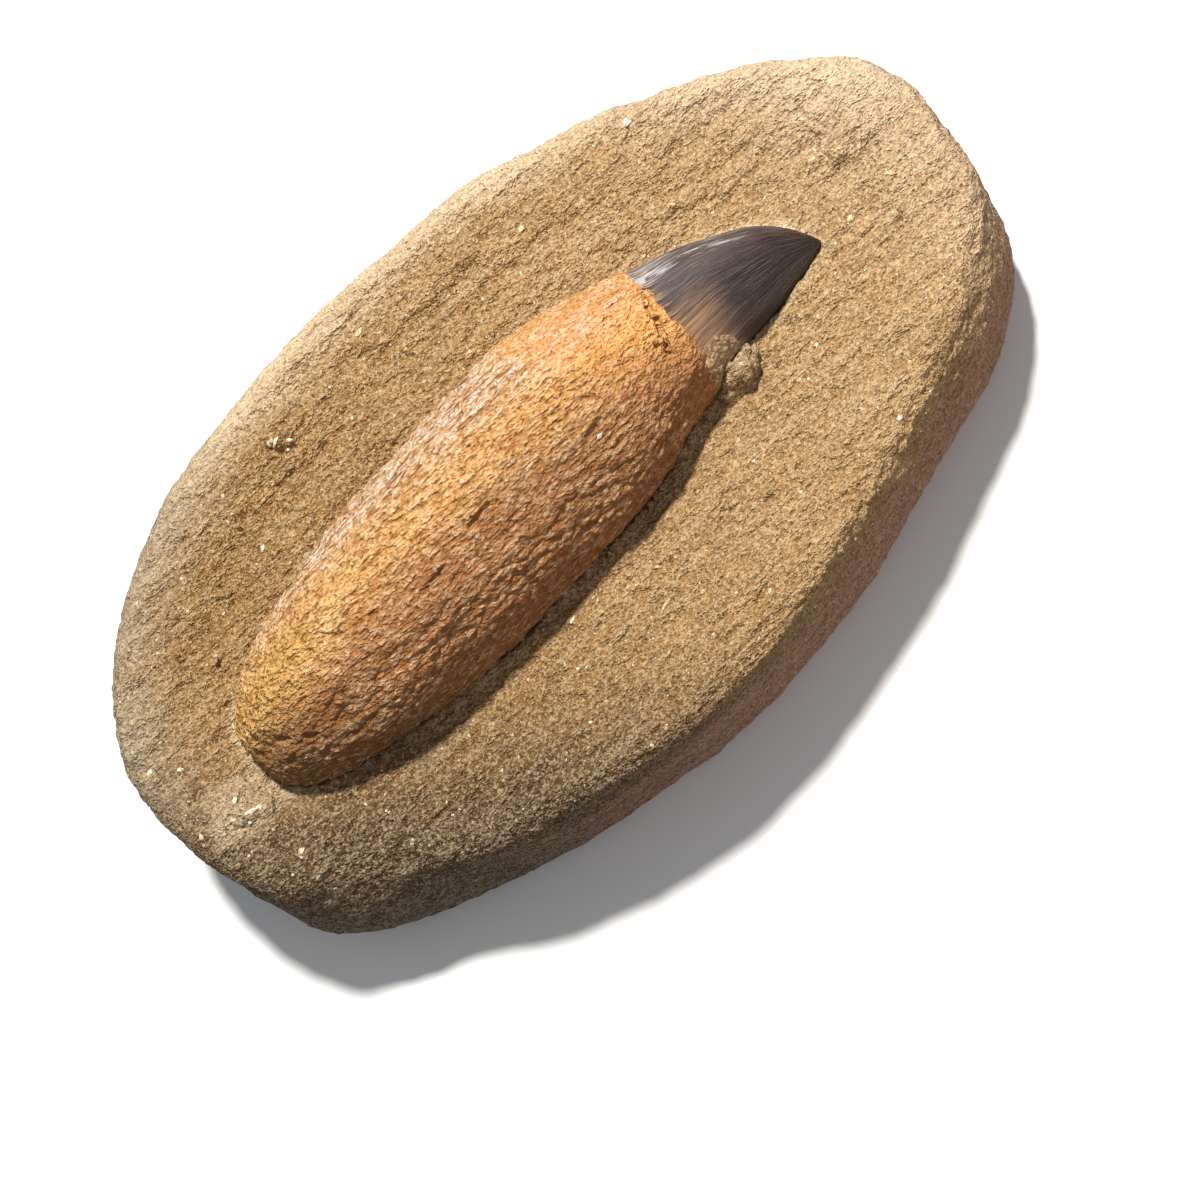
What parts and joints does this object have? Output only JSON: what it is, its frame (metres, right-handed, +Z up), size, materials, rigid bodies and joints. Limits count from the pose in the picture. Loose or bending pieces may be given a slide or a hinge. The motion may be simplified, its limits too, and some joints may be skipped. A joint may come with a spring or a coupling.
{
  "type": "fossil mosasaur tooth in matrix",
  "caption": "Rooted fossil mosasaur tooth, dark enamel crown on a fibrous orange root, lying half exposed in a carved oval block of sandy matrix.",
  "frame": {"origin": "middle of the block's footprint, on the flat back that it rests on", "axes": "+X along the block's long axis, towards the crown's tip; +Z up, out of the carved face; +Y across the block"},
  "size_m": [0.1426, 0.0804, 0.0426],
  "materials": {
    "matrix": "rough sandy, crumbly, ochre brown",
    "tooth": "fibrous mineralised bone, orange to ochre, with a glossy grey-black enamel crown"
  },
  "bodies": {
    "root": {"matrix": "matrix", "tooth": "tooth"}
  },
  "joints": []
}
